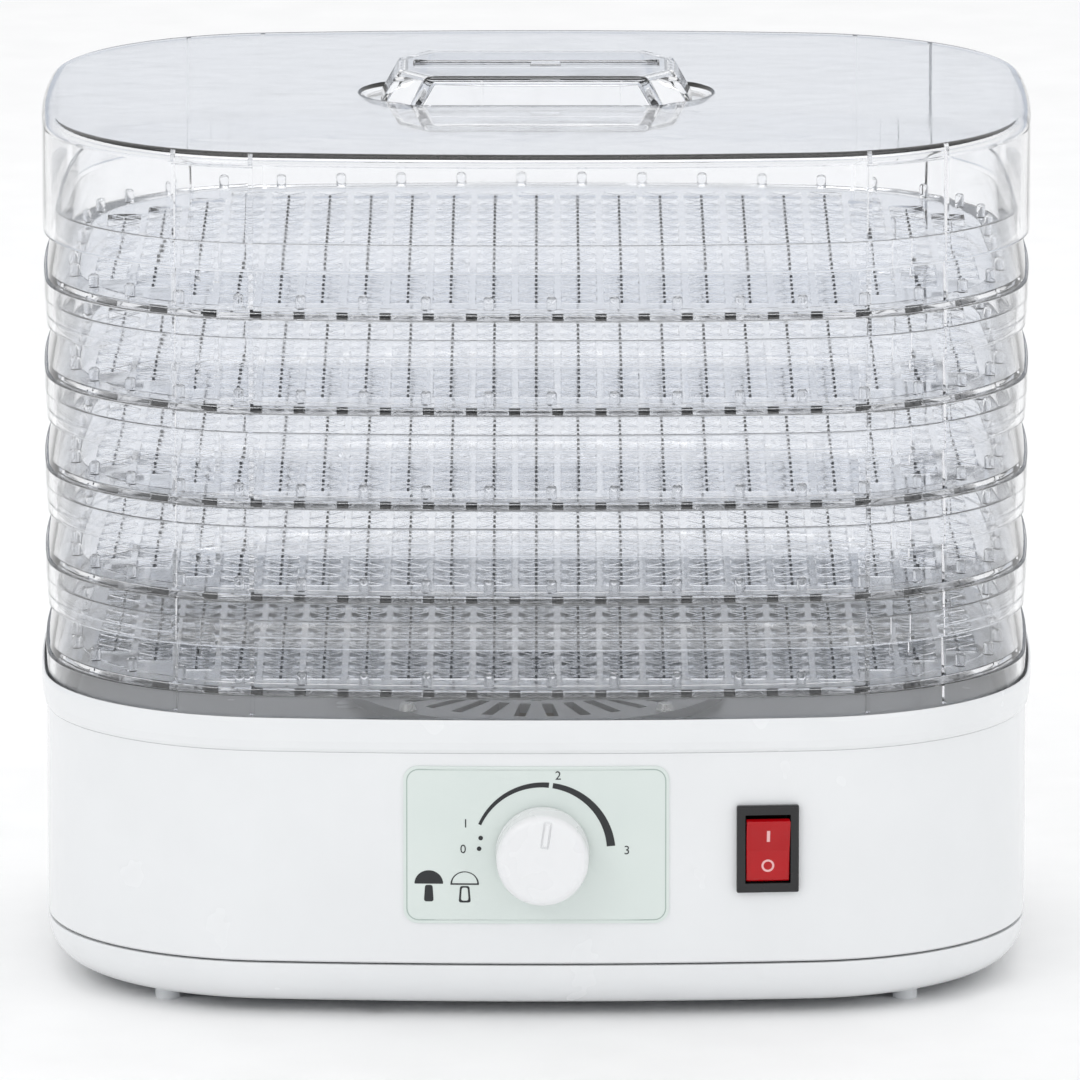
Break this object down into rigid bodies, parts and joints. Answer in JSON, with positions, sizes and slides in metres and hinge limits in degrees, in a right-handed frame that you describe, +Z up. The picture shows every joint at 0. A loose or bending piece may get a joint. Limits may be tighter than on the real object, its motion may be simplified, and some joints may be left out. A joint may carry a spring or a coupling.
{
  "type": "food dehydrator",
  "caption": "Rounded rectangular food dehydrator: white fan-heater base with dial and rocker switch, clear stackable trays and a clear lid with a raised grip.",
  "frame": {"origin": "bottom centre of the bounding box, on the surface that the feet stand on", "axes": "+X to the user's right along the long side, +Y to the back, +Z up; the controls face -Y"},
  "size_m": [0.323, 0.2626, 0.291],
  "materials": {
    "white_plastic": "glossy white ABS",
    "white_knob": "satin white ABS",
    "clear_plastic": "crystal clear polystyrene",
    "label": "pale green-grey satin film",
    "black_plastic": "black nylon",
    "red_lens": "translucent red polycarbonate",
    "lamp_glass": "clear neon tube",
    "grey_plastic": "dark grey heat-stable nylon",
    "thermoset": "brown phenolic",
    "nylon": "natural nylon",
    "steel": "zinc plated",
    "zinc_steel": "galvanised sheet",
    "laminated_steel": "stacked laminations, blued",
    "copper_coil": "enamelled copper winding under tape",
    "bronze": "sintered bronze",
    "brass": "brass blades",
    "mica": "mica sheet",
    "nichrome": "oxidised resistance wire",
    "fuse_can": "aluminium can",
    "wire_brown": "silicone sleeve",
    "wire_blue": "silicone sleeve",
    "wire_white": "glass braid sleeve"
  },
  "bodies": {
    "base": {"bottom_pan": "white_plastic", "body_shell": "white_plastic", "top_deck": "white_plastic", "fan_grille": "white_plastic", "case_screws": "steel", "grille_screws": "steel", "control_label": "label", "thermostat_body": "thermoset", "thermostat_nut": "steel", "thermostat_terminals": "brass", "switch_frame": "black_plastic", "switch_lamp": "lamp_glass", "switch_terminals": "brass", "motor_stator": "laminated_steel", "motor_coil": "copper_coil", "motor_bracket_lower": "zinc_steel", "motor_bracket_upper": "zinc_steel", "motor_bushes": "bronze", "motor_screws": "steel", "bracket_screws": "steel", "heater_shroud": "zinc_steel", "heater_boards": "mica", "heater_coil": "nichrome", "thermal_cutout": "zinc_steel", "thermal_fuse": "fuse_can", "terminal_block": "nylon", "cord_gland": "black_plastic", "wire_live": "wire_brown", "wire_neutral": "wire_blue", "wire_control": "wire_brown", "wire_heater": "wire_white"},
    "fan": {"fan_impeller": "grey_plastic", "motor_shaft": "steel", "motor_rotor": "laminated_steel"},
    "knob": {"control_knob": "white_knob", "thermostat_shaft": "steel"},
    "rocker": {"switch_rocker": "red_lens"},
    "lid": {"lid": "clear_plastic", "lid_grip": "clear_plastic"},
    "tray_1": {"tray_1_frame": "clear_plastic", "tray_1_grid": "clear_plastic", "tray_1_pegs": "clear_plastic"},
    "tray_2": {"tray_2_frame": "clear_plastic", "tray_2_grid": "clear_plastic", "tray_2_pegs": "clear_plastic"},
    "tray_3": {"tray_3_frame": "clear_plastic", "tray_3_grid": "clear_plastic", "tray_3_pegs": "clear_plastic"},
    "tray_4": {"tray_4_frame": "clear_plastic", "tray_4_grid": "clear_plastic", "tray_4_pegs": "clear_plastic"},
    "tray_5": {"tray_5_frame": "clear_plastic", "tray_5_grid": "clear_plastic", "tray_5_pegs": "clear_plastic"}
  },
  "joints": [
    {"name": "fan_spin", "type": "hinge", "parent": "base", "child": "fan", "pos_m": [0, 0.007, 0.0605], "axis": [0, 0, 1], "continuous": true},
    {"name": "knob_turn", "type": "hinge", "parent": "base", "child": "knob", "pos_m": [0.002, -0.1158, 0.056], "axis": [0, -1, 0], "range_deg": [-82, 98]},
    {"name": "rocker_tilt", "type": "hinge", "parent": "base", "child": "rocker", "pos_m": [0.07392, -0.11126, 0.0566], "axis": [-0.9966, -0.0822, 0], "range_deg": [0, 20]},
    {"name": "tray_1_lift", "type": "slide", "parent": "base", "child": "tray_1", "axis": [0, 0, 1], "range_m": [0, 0.05]},
    {"name": "tray_2_lift", "type": "slide", "parent": "tray_1", "child": "tray_2", "axis": [0, 0, 1], "range_m": [0, 0.05]},
    {"name": "tray_3_lift", "type": "slide", "parent": "tray_2", "child": "tray_3", "axis": [0, 0, 1], "range_m": [0, 0.05]},
    {"name": "tray_4_lift", "type": "slide", "parent": "tray_3", "child": "tray_4", "axis": [0, 0, 1], "range_m": [0, 0.05]},
    {"name": "tray_5_lift", "type": "slide", "parent": "tray_4", "child": "tray_5", "axis": [0, 0, 1], "range_m": [0, 0.05]},
    {"name": "lid_lift", "type": "slide", "parent": "tray_5", "child": "lid", "axis": [0, 0, 1], "range_m": [0, 0.07]}
  ]
}
